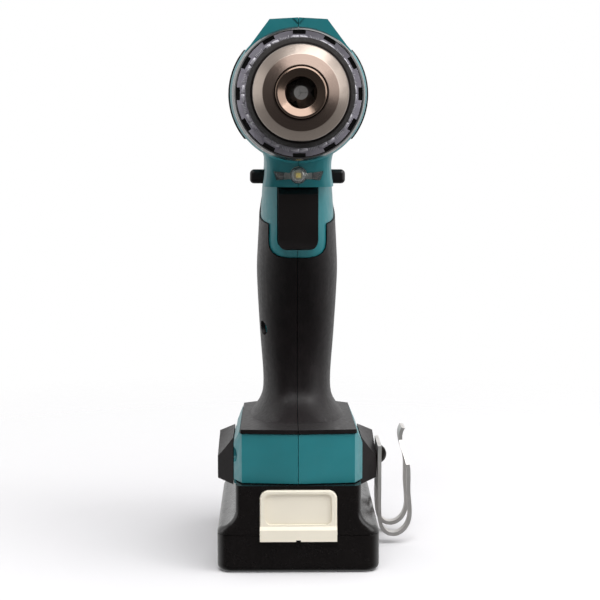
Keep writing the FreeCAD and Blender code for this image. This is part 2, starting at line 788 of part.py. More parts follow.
def chuck_jaw(degrees):
    """One jaw: a slanting rod with a wedge point and thread teeth on its back."""
    rod = jaw_rod(JAW_R, 4.0, JAW_LENGTH)
    reach = 40.0
    tip = JAW_TIP_Y
    wedge = [(0.05, 0), (reach, reach * math.tan(math.radians(60))), (reach, -reach * math.tan(math.radians(60)))]
    wedge = plate_y([(x, SPINDLE_Z + z) for x, z in wedge], tip, -60)
    point = turned([(0, tip), (2.3, tip), (5.6, tip + 5.7), (40, tip + 5.7), (40, -60), (0, -60)])
    jaw = rod.common(wedge).common(point)
    along = jaw_axis()
    outward = V(math.cos(JAW_SLOPE), -math.sin(JAW_SLOPE), 0)
    teeth = []
    for k in range(9):
        centre = V(JAW_TIP_OFFSET, tip, SPINDLE_Z) + along * (7.0 + 1.4 * k) + outward * JAW_R
        groove = box(-0.8, 0.55, -0.35, 0.35, -4, 4)
        groove.rotate(V(0, 0, 0), Z_AXIS, -math.degrees(JAW_SLOPE))
        groove.translate(centre)
        teeth.append(groove)
    return around(jaw.cut(teeth), degrees)


def build_chuck():
    nodes = {"chuck_body": chuck_body()}
    sleeve = turned(
        [
            (SLEEVE_R, -98.0),
            (SLEEVE_R, -71.5),
            (SLEEVE_R - 1.2, -68.2),
            (13.4, -68.2),
            (13.4, -69.2),
            (SLEEVE_BORE_R, -69.2),
            (SLEEVE_BORE_R, -98.6),
            (16.2, -98.6),
            (16.2, -102.6),
            (16.9, -102.4),
        ]
    )
    ribs = []
    for k in range(24):
        cut = disc(1.1, -97, -73, SLEEVE_R + 0.62)
        ribs.append(around(cut, 15 * k))
    nodes["chuck_sleeve"] = sleeve.cut(ribs)
    nodes["chuck_cap"] = turned(
        [
            (16.1, -99.0),
            (16.1, -104.0),
            (15.8, -104.5),
            (12.9, -107.5),
            (12.6, -107.7),
            (9.2, -110.2),
            (8.8, -110.2),
            (8.8, -108.4),
            (12.0, -105.6),
            (13.9, -102.2),
            (13.9, -99.0),
        ]
    )
    gap = 0.12
    inner = JAW_TIP_OFFSET + (-92.0 - JAW_TIP_Y) * math.tan(JAW_SLOPE) + JAW_R / math.cos(JAW_SLOPE) + gap
    outer = inner + 3.0 * math.tan(JAW_SLOPE)
    nut = turned([(inner, -92.0), (SLEEVE_BORE_R - 0.02, -92.0), (SLEEVE_BORE_R - 0.02, -89.0), (outer, -89.0)])
    split = box(-0.1, 0.1, -95, -85, 150, 210)
    nodes["chuck_nut"] = nut.cut(split)
    for k, degrees in enumerate(JAW_ANGLES):
        nodes["chuck_jaw_" + str(k + 1)] = chuck_jaw(degrees)
    return nodes


# --------------------------------------------------------------------- motor


def build_motor():
    nodes = {}
    can = tube(MOTOR_R, MOTOR_R - 1.3, MOTOR_FRONT_Y, MOTOR_BACK_Y).fuse(
        tube(MOTOR_R - 1, 3.2, MOTOR_FRONT_Y, MOTOR_FRONT_Y + 1.4)
    )
    boss = tube(6.4, 3.2, -4.6, MOTOR_FRONT_Y + 0.5)
    windows = [around(box(10, 30, 2, 8, SPINDLE_Z - 4, SPINDLE_Z + 4), a) for a in (0, 180)]
    nodes["motor_can"] = fuse([can, boss]).cut(windows)
    sector = tube(MOTOR_R - 1.35, 14.3, 12, 44)
    gap = [around(box(0, 30, 10, 50, SPINDLE_Z - 4, SPINDLE_Z + 4), a) for a in (0, 180)]
    nodes["motor_magnets"] = sector.cut(gap)
    nodes["motor_shaft"] = disc(SHAFT_R, -16.0, 60.5).fuse(disc(3.0, -4.0, -0.8))
    nodes["armature"] = armature()
    nodes["motor_windings"] = Part.makeCompound([windings(), commutator()])
    nodes["cooling_fan"] = cooling_fan()
    cap = tube(MOTOR_R - 1.4, 4.4, 51.6, 54.4).fuse(tube(MOTOR_R, 3.0, 54.1, 56.2))
    cap = cap.fuse(tube(5.2, SHAFT_R + 0.06, 56.0, 60.0))
    slots = []
    for side in (1, -1):
        near, far = sorted((side * 4.3, side * 12.4))
        slots.append(box(near, far, 51, 54.15, SPINDLE_Z - 2.3, SPINDLE_Z + 2.3))
    nodes["brush_plate"] = cap.cut(slots)
    brushes = []
    for side in (1, -1):
        near, far = sorted((side * 4.75, side * 11.8))
        brushes.append(box(near, far, 50.4, 54.0, SPINDLE_Z - 2.2, SPINDLE_Z + 2.2))
    nodes["carbon_brushes"] = Part.makeCompound(brushes)
    return nodes


def armature():
    """A five-pole core with its copper filling the slots between the poles."""
    core = disc(13.6, 14, 42)
    slots = []
    for k in range(5):
        slot = box(5.5, 11.6, 13, 43, SPINDLE_Z - 2.6, SPINDLE_Z + 2.6)
        mouth = box(11, 15, 13, 43, SPINDLE_Z - 0.9, SPINDLE_Z + 0.9)
        slots.append(around(slot.fuse(mouth), 72 * k))
    return core.cut(slots).cut(disc(SHAFT_R + 0.01, 0, 60))


def windings():
    coils = []
    for k in range(5):
        coils.append(around(box(6.0, 11.2, 11.0, 45.0, SPINDLE_Z - 2.3, SPINDLE_Z + 2.3), 72 * k))
    ends = [tube(11.0, 5.0, 11.0, 13.8), tube(11.0, 5.0, 42.2, 45.0)]
    return fuse(coils + ends)


def commutator():
    body = tube(4.4, SHAFT_R + 0.01, 46.2, 54.0)
    cuts = [around(box(3.4, 6, 46, 55, SPINDLE_Z - 0.2, SPINDLE_Z + 0.2), 72 * k) for k in range(5)]
    return body.cut(cuts)


def cooling_fan():
    hub = tube(5.0, SHAFT_R + 0.01, 2.0, 9.0)
    back = tube(15.0, 4.0, 8.0, 9.0)
    blades = []
    for k in range(9):
        blade = box(4.5, 14.8, 2.6, 8.5, SPINDLE_Z - 0.5, SPINDLE_Z + 0.5)
        blades.append(around(blade, 40 * k))
    return fuse([hub, back] + blades)


# ------------------------------------------------- switch, trigger and lever


def trigger():
    """A hollow key with a curved front and a stem that enters the switch."""
    front = [(-26.0, 146.2), (-36.8, 146.2), (-38.6, 144.4), (-39.2, 136), (-38.4, 128), (-35.4, 123.6)]
    front += [(-33.0, 122.9), (-26.0, 122.9)]
    key = plate_x(front, -7.4, 7.4)
    key = key.fuse(box(-7.4, 7.4, -27, -21, 122.9, 146.2))
    outline = box(-7.4, 7.4, -60, 0, 122.9, 150)
    outline = outline.makeFillet(3.4, [e for e in edges_along(outline, Y_AXIS) if e.CenterOfMass.z < 130])
    key = key.common(outline)
    hollow = box(-5.8, 5.8, -35.0, -15, 124.6, 144.6)
    boss = disc(3.4, -36, -31, 0, TRIGGER_Z)
    stem = disc(1.9, -36, -4.0, 0, TRIGGER_Z)
    return key.cut(hollow).fuse([boss.cut(disc(2.5, -31, -15, 0, TRIGGER_Z)), stem]).removeSplitter()


def switch_body():
    body = box(-9.2, 9.2, -13.4, 13.6, 119.8, 145.8)
    body = body.makeFillet(0.8, edges_along(body, V(1, 0, 0)))
    collar = tube(3.6, 2.0, -14.4, -12, 0, TRIGGER_Z)
    slot = box(-6.0, 6.0, -15.9, -12.1, 142.6, 147)
    return body.fuse(collar).cut([disc(2.0, -15, 3.5, 0, TRIGGER_Z), slot])


def direction_lever():
    bar = box(-18.5, 18.5, -17.0, -11.0, 147.4, 152.8)
    bar = bar.makeFillet(1.6, bar.Edges)
    waist = box(-9.0, 9.0, -20, -8, 151.4, 156)
    pin = cylinder_z(1.2, 0, -13.6, 143.4, 148)
    return bar.cut(waist).fuse(pin)


def lamp_lens():
    wings = plate_y(lens_outline(0), -50, -38)
    skin = wings.common(chin_form(0.15)).common(box(-12, 12, -50, -41.6, 140, 160))
    skin = skin.cut(disc(2.9, -50, -38, 0, LAMP_Z))
    arc = Part.Arc(V(0, -46.0, LAMP_Z), V(2.2, -45.1, LAMP_Z), V(3.1, -43.0, LAMP_Z)).toShape()
    corners = [V(3.1, -43.0, LAMP_Z), V(3.1, -40.9, LAMP_Z), V(1.7, -40.9, LAMP_Z), V(1.7, -43.6, LAMP_Z)]
    corners += [V(0, -43.6, LAMP_Z), V(0, -46.0, LAMP_Z)]
    face = Part.Face(Part.Wire([arc] + Part.makePolygon(corners).Edges))
    dome = face.revolve(V(0, 0, LAMP_Z), Y_AXIS, 360)
    return skin.fuse(dome)


def lamp_board():
    board = box(-5.0, 5.0, -39.6, -38.4, 149.9, 155.0)
    case = disc(1.5, -43.2, -39.5, 0, LAMP_Z)
    return board.fuse(case)


def speed_selector():
    plate = box(-8.4, 8.4, -34.2, -13.0, 205.0, 206.7)
    thumb = box(-6.0, 6.0, -28.2, -19.0, 206.0, 210.2)
    thumb = thumb.makeFillet(0.8, [e for e in thumb.Edges if e.CenterOfMass.z > 208.2])
    ridges = [box(-7, 7, -27.0 + 2.4 * k, -26.0 + 2.4 * k, 209.6, 213) for k in range(3)]
    lug = box(-2.2, 2.2, -26.0, -21.2, 202.6, 205.2)
    wire_slot = box(-5, 5, -24.5, -22.7, 200, 204.1)
    return fuse([plate, thumb.cut(ridges), lug]).cut(wire_slot)


def selector_fork():
    """A spring-wire bail around the gear case, its ends turned in to the shift ring's groove."""
    radius = 21.5
    wire = 0.8
    y = -23.6
    bail = Part.makeTorus(radius, wire, V(0, y, SPINDLE_Z), Y_AXIS)
    bail = bail.common(box(-30, 30, y - 2, y + 2, SPINDLE_Z, 230))
    ends = [bail_end(side, y, wire) for side in (1, -1)]
    return fuse([bail] + ends)


def bail_end(side, y, wire):
    """A short pin that points at the spindle, with a rounded knuckle where it leaves the bail."""
    near, far = sorted((side * 18.7, side * 21.5))
    pin = cylinder_x(wire, near, far, y, SPINDLE_Z)
    knuckle = Part.makeSphere(wire, V(side * 21.5, y, SPINDLE_Z))
    return pin.fuse(knuckle)


# ------------------------------------------------------------- foot and hook


def terminal_block():
    block = box(-16.0, 16.0, -2.0, 28.0, 37.0, 43.0)
    skirt = box(-14.7, 14.7, 4.3, 23.7, 34.7, 37.0)
    blades = [box(x - 0.4, x + 0.4, 8.0, 20.0, 28.4, 36.0) for x in BLADE_X]
    return fuse([block, skirt] + blades)


def belt_hook():
    """One bent strip: a leg on the foot, a loop under it and an outer leg with a dog-leg top."""
    half = HOOK_THICKNESS / 2
    line = [
        (33.45, 40.6),
        (33.45, 35.0),
        (33.45, 29.0),
        (33.45, 22.0),
        (33.7, 10.4),
        (34.7, 6.6),
        (37.2, 4.4),
        (40.3, 4.2),
        (43.3, 5.9),
        (45.5, 9.8),
        (45.9, 14.0),
        (45.3, 22.0),
        (44.8, 33.6),
        (42.8, 40.0),
        (42.3, 43.2),
        (43.4, 46.9),
    ]
    left = []
    right = []
    for i, (x, z) in enumerate(line):
        before = line[max(i - 1, 0)]
        after = line[min(i + 1, len(line) - 1)]
        dx = after[0] - before[0]
        dz = after[1] - before[1]
        size = math.hypot(dx, dz)
        left.append((x - half * dz / size, z + half * dx / size))
        right.append((x + half * dz / size, z - half * dx / size))
    strip = smooth_strip(left, right)
    middle = (HOOK_FRONT_Y + HOOK_BACK_Y) / 2
    window = [box(35, 60, middle - 7, middle + 7, -5, 35.5), box(30, 40, middle - 7, middle + 7, -5, 22)]
    shoulder = [(-1, 33), (0, 33), (6, 42), (6, 60), (-1, 60)]
    corner = plate_x([(HOOK_FRONT_Y + y, z) for y, z in shoulder], 38, 60)
    other = corner.mirror(V(0, middle, 0), Y_AXIS)
    return strip.cut(window + [corner, other, hook_hole(HOOK_SCREW_R + 0.5, 30, 36)])


def smooth_strip(left, right):
    one = Part.BSplineCurve()
    one.interpolate([V(x, HOOK_FRONT_Y, z) for x, z in left])
    two = Part.BSplineCurve()
    two.interpolate([V(x, HOOK_FRONT_Y, z) for x, z in right])
    first = Part.LineSegment(one.StartPoint, two.StartPoint).toShape()
    last = Part.LineSegment(one.EndPoint, two.EndPoint).toShape()
    face = Part.Face(Part.Wire(Part.__sortEdges__([one.toShape(), last, two.toShape(), first])))
    return face.extrude(V(0, HOOK_BACK_Y - HOOK_FRONT_Y, 0))


def hook_screw():
    """A slotted, dome-headed screw."""
    seat = 34.3
    head_r = 3.8
    head_height = 2.6
    ball = (head_r ** 2 + head_height ** 2) / (2 * head_height)
    y, z = HOOK_SCREW_YZ
    head = Part.makeSphere(ball, V(seat + head_height - ball, y, z)).common(box(seat, 45, 0, 30, 20, 50))
    shank = hook_hole(HOOK_SCREW_R, 26, seat + 0.5)
    slot = box(seat + 1.6, 40, y - 0.7, y + 0.7, 25, 45)
    return head.fuse(shank).cut(slot)


# ------------------------------------------------------------------- battery


def rounded_block(half_x, front, back, z0, z1, radius):
    block = box(-half_x, half_x, front, back, z0, z1)
    return block.makeFillet(radius, edges_along(block, Z_AXIS))


def battery_lower_case():
    block = rounded_block(CASE_HALF_X, -CASE_HALF_Y, CASE_HALF_Y, 0, LOWER_CASE_TOP_Z, 6.0)
    bottom = [e for e in block.Edges if e.CenterOfMass.z < 0.01]
    block = block.makeFillet(2.6, bottom)
    inside = rounded_block(
        CASE_HALF_X - BATTERY_WALL, -CASE_HALF_Y + BATTERY_WALL, CASE_HALF_Y - BATTERY_WALL, 1.6, 30, 4.4
    )
    posts = [cylinder_z(2.6, x, -37.6, 1.0, 15.8) for x in (-9.0, 9.0)]
    screw_posts = [cylinder_z(3.2, x, 38.0, 1.0, LOWER_CASE_TOP_Z) for x in (-CASE_SCREW_X, CASE_SCREW_X)]
    case = fuse([block.cut(inside)] + posts + screw_posts)
    cuts = []
    for x in (-CASE_SCREW_X, CASE_SCREW_X):
        cuts.append(cylinder_z(2.4, x, 38.0, -1, 3.4))
        cuts.append(cylinder_z(1.5, x, 38.0, 0, 20))
    return case.cut(cuts)


def waisted(half_x, neck, z0, z1, centre_z, radius):
    """A block whose flanks sweep in to a narrower neck."""
    block = box(-half_x, half_x, -60, 60, z0, z1)
    for side in (1, -1):
        near, far = sorted((side * neck, side * 60))
        block = block.cut(box(near, far, -61, 61, centre_z, z1 + 1))
        block = block.cut(Part.makeCylinder(radius, 122, V(side * (neck + radius), -61, centre_z), Y_AXIS))
        near, far = sorted((side * (neck + radius), side * 60))
        block = block.cut(box(near, far, -61, 61, centre_z - radius, z1 + 1))
    return block


def front_neck_corners(form):
    """The two upright corners at the front of the neck, with the sweeps below them."""
    corners = []
    for edge in form.Edges:
        centre = edge.CenterOfMass
        if centre.y < 0.1 - CASE_HALF_Y and NECK_HALF_X - 0.1 < abs(centre.x) < NECK_HALF_X + 0.9:
            corners.append(edge)
    return corners


def battery_upper_case():
    outline = rounded_block(CASE_HALF_X, -CASE_HALF_Y, CASE_HALF_Y, 10, 40, 6.0)
    form = waisted(CASE_HALF_X, NECK_HALF_X, UPPER_CASE_BOTTOM_Z, BATTERY_TOP_Z, NECK_START_Z, 7.6).common(outline)
    form = form.makeFillet(3.0, front_neck_corners(form))
    inner_outline = rounded_block(
        CASE_HALF_X - BATTERY_WALL, -CASE_HALF_Y + BATTERY_WALL, CASE_HALF_Y - BATTERY_WALL, 5, 40, 4.4
    )
    low = waisted(CASE_HALF_X - BATTERY_WALL, NECK_HALF_X - 1.4, 10, 25.2, NECK_START_Z, 9.0)
    high = box(-19.6, 19.6, -60, 60, 20, BATTERY_TOP_Z - BATTERY_WALL)
    case = form.cut(low.fuse(high).common(inner_outline))
    screw_posts = [cylinder_z(3.2, x, 38.0, UPPER_CASE_BOTTOM_Z, 20.0) for x in (-CASE_SCREW_X, CASE_SCREW_X)]
    board_posts = [
        cylinder_z(2.0, x, y, 24.05, BATTERY_TOP_Z - 1) for x in (-15.5, 15.5) for y in (-18.0, 4.0)
    ]
    case = case.fuse([post.common(form) for post in screw_posts + board_posts]).removeSplitter()
    groove = box(21.4, 40, -11.5, 60, RAIL_Z[0] - 0.2, RAIL_Z[1] + 0.2)
    cuts = [groove, mirrored(groove)]
    cuts += [box(x - 0.9, x + 0.9, 6.5, 60, 28.0, 40) for x in BLADE_X]
    button_window = box(-15.0, 15.0, -60, -41, 10, 32.7)
    cuts.append(button_window.makeFillet(3.6, [e for e in edges_along(button_window, Y_AXIS) if e.CenterOfMass.z > 25]))
    cuts.append(box(-6.4, 6.4, -39.4, -33.8, 31, 40))
    cuts += [cylinder_z(1.22, x, 38.0, 10, 19.0) for x in (-CASE_SCREW_X, CASE_SCREW_X)]
    return case.cut(cuts)


def battery_button():
    """The release: a dished face with a lip under it, and a latch that rises behind it."""
    face = box(-14.7, 14.7, -44.8, -41.6, 17.6, 32.4)
    face = face.makeFillet(3.4, [e for e in edges_along(face, Y_AXIS) if e.CenterOfMass.z > 25])
    face = face.makeFillet(0.7, [max(face.Edges, key=lambda e: e.CenterOfMass.z)])
    dish = box(-12.7, 12.7, -50, -43.8, 19.0, 31.0)
    dish = dish.makeFillet(2.2, edges_along(dish, Y_AXIS))
    lip = box(-14.7, 14.7, -46.2, -44.3, 12.8, 18.4)
    lip_slope = plate_x([(-46.3, 17.2), (-44.7, 18.5), (-46.3, 18.5)], -15, 15)
    notch = box(-0.9, 0.9, -47, -44, 12, 13.4)
    lip = lip.cut([lip_slope, notch])
    body = box(-13.0, 13.0, -41.8, -34.8, 22.0, 31.2)
    latch = plate_x([(-38.6, 31), (-38.6, 33.2), (-37.8, 34.2), (-34.8, 34.2), (-34.8, 31)], -6.0, 6.0)
    hollow = box(-11.6, 11.6, -40.4, -36.2, 20, 29.0)
    pads = [cylinder_z(2.6, x, -37.6, 22.0, 24.5) for x in (-9.0, 9.0)]
    return fuse([face.cut(dish), lip, body.cut(hollow), latch] + pads)


def button_springs():
    springs = []
    for x in (-9.0, 9.0):
        spring = coil(1.8, 0.35, 0, 6.0, 4, 0, 0)
        spring.rotate(V(0, 0, 0), V(1, 0, 0), 90)
        spring.translate(V(x, -37.6, 15.9))
        springs.append(spring)
    return Part.makeCompound(springs)


def battery_cells():
    """Three cells side by side, joined by their welded straps."""
    cells = []
    for x in (-CELL_X, 0, CELL_X):
        cell = disc(CELL_R, -CELL_LENGTH / 2, CELL_LENGTH / 2, x, CELL_Z)
        cells.append(cell.makeFillet(0.7, cell.Edges[:1] + cell.Edges[-1:]))
    half = CELL_LENGTH / 2
    straps = [
        box(-22.5, 4.0, -half - 0.5, -half - 0.05, 7, 15),
        box(-4.0, 22.5, half + 0.05, half + 0.5, 7, 15),
        box(-22.5, -14.5, half + 0.05, half + 0.5, 7, 15),
        box(14.5, 22.5, -half - 0.5, -half - 0.05, 7, 15),
    ]
    return Part.makeCompound(cells + straps)


def battery_board():
    """The contact board, with a pair of spring contacts for each of the tool's blades."""
    board = [box(-17.6, 17.6, -22, 28, 22.4, 24.0)]
    for x in BLADE_X:
        for side in (1, -1):
            near, far = sorted((x + side * 0.5, x + side * 0.95))
            board.append(box(near, far, 8, 18, 23.9, 31.4))
        board.append(box(x - 0.9, x + 0.9, 8, 18, 23.9, 25.4))
    return fuse(board)


def battery_screws():
    screws = []
    for x in (-CASE_SCREW_X, CASE_SCREW_X):
        head = cylinder_z(2.2, x, 38.0, 1.6, 3.4)
        shank = cylinder_z(1.2, x, 38.0, 3.3, 18.4)
        socket = cylinder_z(0.9, x, 38.0, 1.0, 2.6)
        screws.append(head.fuse(shank).cut(socket))
    return Part.makeCompound(screws)


# --------------------------------------------------------------------- leads


def wire(points, radius):
    pieces = []
    for start, end in zip(points, points[1:]):
        run = end - start
        pieces.append(Part.makeCylinder(radius, run.Length, start, run))
    pieces += [Part.makeSphere(radius, point) for point in points[1:-1]]
    return fuse(pieces)


def battery_leads():
    return [wire([V(x, 16, 43.05), V(x, 11, 70), V(x, 11, 119.7)], 1.1) for x in (-3.4, 3.4)]


def motor_leads():
    leads = []
    for x in (-5.5, 5.5):
        points = [V(x, 10, 145.9), V(x, 10, 160.6), V(x, 58.2, 160.6), V(x, 58.2, 172.0), V(x, 56.3, 172.0)]
        leads.append(wire(points, 0.95))
    return leads


# ---------------------------------------------------------------------- main


def main():
    os.makedirs("parts", exist_ok=True)
    nodes = {}
    left, right = build_housing()
    nodes["housing_left"] = largest(left)
    nodes["housing_right"] = largest(right)
    left, right = build_overmould()
    nodes["overmould_left"] = large_solids(left)
    nodes["overmould_right"] = large_solids(right)
    nodes["housing_screws"] = housing_screws()
    nodes["gear_case"] = build_gear_case()
    nodes["trigger"] = trigger()
    nodes["trigger_spring"] = coil(2.9, 0.3, -31, -14.5, 7, 0, TRIGGER_Z)
    nodes["switch_body"] = switch_body()
    nodes["direction_lever"] = direction_lever()
    nodes["lamp_lens"] = lamp_lens()
    nodes["lamp_board"] = lamp_board()
    nodes["speed_selector"] = speed_selector()
    nodes["selector_fork"] = selector_fork()
    nodes["terminal_block"] = terminal_block()
    nodes["belt_hook"] = belt_hook()
    nodes["hook_screw"] = hook_screw()
    nodes["power_leads"] = Part.makeCompound(battery_leads() + motor_leads())
    nodes["battery_lower_case"] = battery_lower_case()
    nodes["battery_upper_case"] = battery_upper_case()
    nodes["battery_button"] = battery_button()
    nodes["button_springs"] = button_springs()
    nodes["battery_cells"] = battery_cells()
    nodes["battery_board"] = battery_board()
    nodes["battery_screws"] = battery_screws()
    for group in (build_gears(), build_clutch(), build_spindle(), build_chuck(), build_motor()):
        nodes.update(group)
    for name, shape in nodes.items():
        export(shape, name)
        print(name, len(shape.Solids), shape.isValid(), round(shape.Volume))


main()
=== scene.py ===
import json
import math

import bmesh
import bpy
from mathutils import Euler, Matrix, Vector


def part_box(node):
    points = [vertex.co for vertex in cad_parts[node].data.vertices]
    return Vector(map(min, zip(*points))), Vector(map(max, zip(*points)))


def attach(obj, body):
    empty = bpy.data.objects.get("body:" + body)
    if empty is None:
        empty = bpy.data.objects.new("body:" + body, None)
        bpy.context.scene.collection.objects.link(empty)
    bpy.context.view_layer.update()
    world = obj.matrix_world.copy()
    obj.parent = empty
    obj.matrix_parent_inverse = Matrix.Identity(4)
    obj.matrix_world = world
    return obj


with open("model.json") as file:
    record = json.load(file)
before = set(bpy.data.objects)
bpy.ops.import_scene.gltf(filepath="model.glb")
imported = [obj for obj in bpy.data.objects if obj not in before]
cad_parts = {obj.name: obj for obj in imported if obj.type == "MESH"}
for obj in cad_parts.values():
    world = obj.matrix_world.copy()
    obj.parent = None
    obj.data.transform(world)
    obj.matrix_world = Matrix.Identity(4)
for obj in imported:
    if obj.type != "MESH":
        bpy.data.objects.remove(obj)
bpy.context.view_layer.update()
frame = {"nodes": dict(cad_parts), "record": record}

MM = 0.001

# Places that the frame gives, in metres
SPINDLE_Z = sum(corner.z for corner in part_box("spindle")) / 2
RING_FRONT_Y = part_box("torque_ring")[0].y

# Where one piece changes from one look to another
# Inside the cap's face radius the nickel is painted darker, a painted reflection of the dim space in
# front
CAP_FACE_R = 12.62 * MM
CAP_BEVEL_R = 12.76 * MM
SCALE_FACE_R = 22.34 * MM
SCALE_FACE_DEPTH = 1.5 * MM
CELL_WRAP_HALF = 31.9 * MM


# ------------------------------------------------------------------ materials


class Nodes:
    """A material's node tree with short calls for the nodes used here."""

    def __init__(self, name):
        self.material = bpy.data.materials.new(name)
        self.material.use_nodes = True
        self.tree = self.material.node_tree
        self.shader = self.tree.nodes["Principled BSDF"]
        self.place = self.add("ShaderNodeTexCoord").outputs["Object"]

    def add(self, kind, **settings):
        node = self.tree.nodes.new(kind)
        for key, value in settings.items():
            setattr(node, key, value)
        return node

    def link(self, source, target):
        self.tree.links.new(source, target)

    def noise(self, scale, detail=2.0, roughness=0.5, stretch=None):
        """Noise whose features are about 1 / scale metres across."""
        vector = self.place
        if stretch:
            mapping = self.add("ShaderNodeMapping")
            mapping.inputs["Scale"].default_value = stretch
            self.link(vector, mapping.inputs["Vector"])
            vector = mapping.outputs["Vector"]
        node = self.add("ShaderNodeTexNoise")
        node.inputs["Scale"].default_value = scale
        node.inputs["Detail"].default_value = detail
        node.inputs["Roughness"].default_value = roughness
        self.link(vector, node.inputs["Vector"])
        return node.outputs["Fac"]

    def spread(self, value, low, high, start=0.3, end=0.7):
        """A value mapped from the range start to end onto the range low to high."""
        node = self.add("ShaderNodeMapRange")
        node.inputs["From Min"].default_value = start
        node.inputs["From Max"].default_value = end
        node.inputs["To Min"].default_value = low
        node.inputs["To Max"].default_value = high
        self.link(value, node.inputs["Value"])
        return node.outputs["Result"]

    def blend(self, factor, first, second):
        """One of two colours, or a mixture, by a factor."""
        node = self.add("ShaderNodeMix", data_type="RGBA")
        self.link(factor, node.inputs["Factor"])
        for socket, colour in ((node.inputs[6], first), (node.inputs[7], second)):
            if isinstance(colour, tuple):
                socket.default_value = (*colour, 1)
            else:
                self.link(colour, socket)
        return node.outputs[2]

    def maths(self, operation, first, second=None):
        node = self.add("ShaderNodeMath", operation=operation)
        for socket, value in zip(node.inputs, (first, second)):
            if value is None:
                continue
            if isinstance(value, (int, float)):
                socket.default_value = value
            else:
                self.link(value, socket)
        return node.outputs[0]

    def colour(self, value):
        """The base colour, as a tuple or from another node."""
        if isinstance(value, tuple):
            self.shader.inputs["Base Color"].default_value = (*value, 1)
        else:
            self.link(value, self.shader.inputs["Base Color"])

    def rough(self, value):
        """The roughness, as a number or from another node."""
        if isinstance(value, (int, float)):
            self.shader.inputs["Roughness"].default_value = value
        else:
            self.link(value, self.shader.inputs["Roughness"])

    def bump(self, heights):
        """Stacked bumps, each a height source, its strength and its depth in metres."""
        normal = None
        for height, strength, depth in heights:
            node = self.add("ShaderNodeBump")
            node.inputs["Strength"].default_value = strength
            node.inputs["Distance"].default_value = depth
            self.link(height, node.inputs["Height"])
            if normal:
                self.link(normal, node.inputs["Normal"])
            normal = node.outputs["Normal"]
        self.link(normal, self.shader.inputs["Normal"])

    def set(self, **values):
        """Any other inputs of the shader, named with underscores for spaces."""
        for name, value in values.items():
            self.shader.inputs[name.replace("_", " ")].default_value = value


def shade(colour, factor):
    return tuple(min(1.0, c * factor) for c in colour)


def moulded(name, colour, roughness, grain=2600, grain_depth=0.00004, contrast=0.08, **extra):
    """Moulded plastic: fine spark-eroded grain, faint cloudiness and uneven gloss."""
    n = Nodes(name)
    cloud = n.spread(n.noise(55, 3), 0, 1)
    n.colour(n.blend(cloud, shade(colour, 1 - contrast), shade(colour, 1 + contrast)))
    n.rough(n.spread(n.noise(420, 4), roughness - 0.05, roughness + 0.06))
    n.bump([(n.noise(grain, 2, 0.6), 0.35, grain_depth), (n.noise(90, 2), 0.05, 0.0004)])
    n.set(**extra)
    return n.material


def rubber(name, colour, roughness):
    """Soft overmould: a close stipple, a dusty bloom and a soft sheen."""
    n = Nodes(name)
    dust = n.spread(n.noise(160, 6, 0.7), 0, 1, 0.42, 0.72)
    n.colour(n.blend(dust, shade(colour, 0.85), shade(colour, 1.45)))
    n.rough(n.spread(n.noise(700, 3), roughness - 0.07, roughness + 0.05))
    stipple = n.add("ShaderNodeTexVoronoi", feature="F1")
    stipple.inputs["Scale"].default_value = 1500
    n.link(n.place, stipple.inputs["Vector"])
    n.bump([(stipple.outputs["Distance"], 0.22, 0.00008), (n.noise(120, 3), 0.06, 0.0004)])
    n.set(Sheen_Weight=0.03, Sheen_Roughness=0.4, Specular_IOR_Level=0.32)
    return n.material


def distance_from_spindle(n):
    """How far a point is from the spindle's axis, and where it is along that axis."""
    split = n.add("ShaderNodeSeparateXYZ")
    n.link(n.place, split.inputs[0])
    high = n.maths("SUBTRACT", split.outputs["Z"], SPINDLE_Z)
    square = n.maths("ADD", n.maths("POWER", split.outputs["X"], 2.0), n.maths("POWER", high, 2.0))
    return n.maths("SQRT", square), split.outputs["Y"]


def turning_marks(n, radius, along, pitch):
    """Fine concentric lines left by a lathe."""
    line = n.add("ShaderNodeCombineXYZ")
    n.link(n.maths("ADD", radius, along), line.inputs["X"])
    noise = n.add("ShaderNodeTexNoise")
    noise.inputs["Scale"].default_value = 1 / pitch
    noise.inputs["Detail"].default_value = 3
    n.link(line.outputs[0], noise.inputs["Vector"])
    return noise.outputs["Fac"]


def lathe(n, anisotropy):
    """Metal whose highlights run round the spindle's axis."""
    n.set(Metallic=1.0, Anisotropic=anisotropy)
    tangent = n.add("ShaderNodeTangent", direction_type="RADIAL", axis="Y")
    n.link(tangent.outputs[0], n.shader.inputs["Tangent"])


def turned_metal(name, colour, roughness, pitch=0.00022):
    """Metal turned on a lathe, with the tool's marks left in it."""
    n = Nodes(name)
    radius, along = distance_from_spindle(n)
    line = turning_marks(n, radius, along, pitch)
    n.colour(n.blend(n.spread(line, 0, 1), shade(colour, 0.86), shade(colour, 1.1)))
    n.rough(n.spread(line, roughness - 0.05, roughness + 0.09))
    n.bump([(line, 0.5, 0.00002), (n.noise(3000, 2), 0.08, 0.00002)])
    lathe(n, 0.55)
    return n.material


def cap_metal():
    """The nose cap: satin nickel with a lighter bevel, and a turned face in front of it painted darker
    as a painted reflection of the dim space in front of the tool.
    """
    n = Nodes("cap_nickel")
    radius, along = distance_from_spindle(n)
    line = turning_marks(n, radius, along, 0.00016)
    is_face = n.spread(radius, 1, 0, CAP_FACE_R, CAP_BEVEL_R)
    light = n.blend(n.spread(line, 0, 1), (0.30, 0.250, 0.215), (0.40, 0.340, 0.300))
    # Painted reflection: the face's darker nickel stands in for the dim space the face mirrors, not a
    # different finish
    painted_reflection_dark_face = n.blend(n.spread(line, 0, 1), (0.145, 0.108, 0.090), (0.21, 0.160, 0.135))
    n.colour(n.blend(is_face, light, painted_reflection_dark_face))
    n.rough(n.spread(line, 0.24, 0.40))
    n.bump([(line, 0.5, 0.000016), (n.noise(3600, 2), 0.1, 0.00002)])
    lathe(n, 0.6)
    return n.material


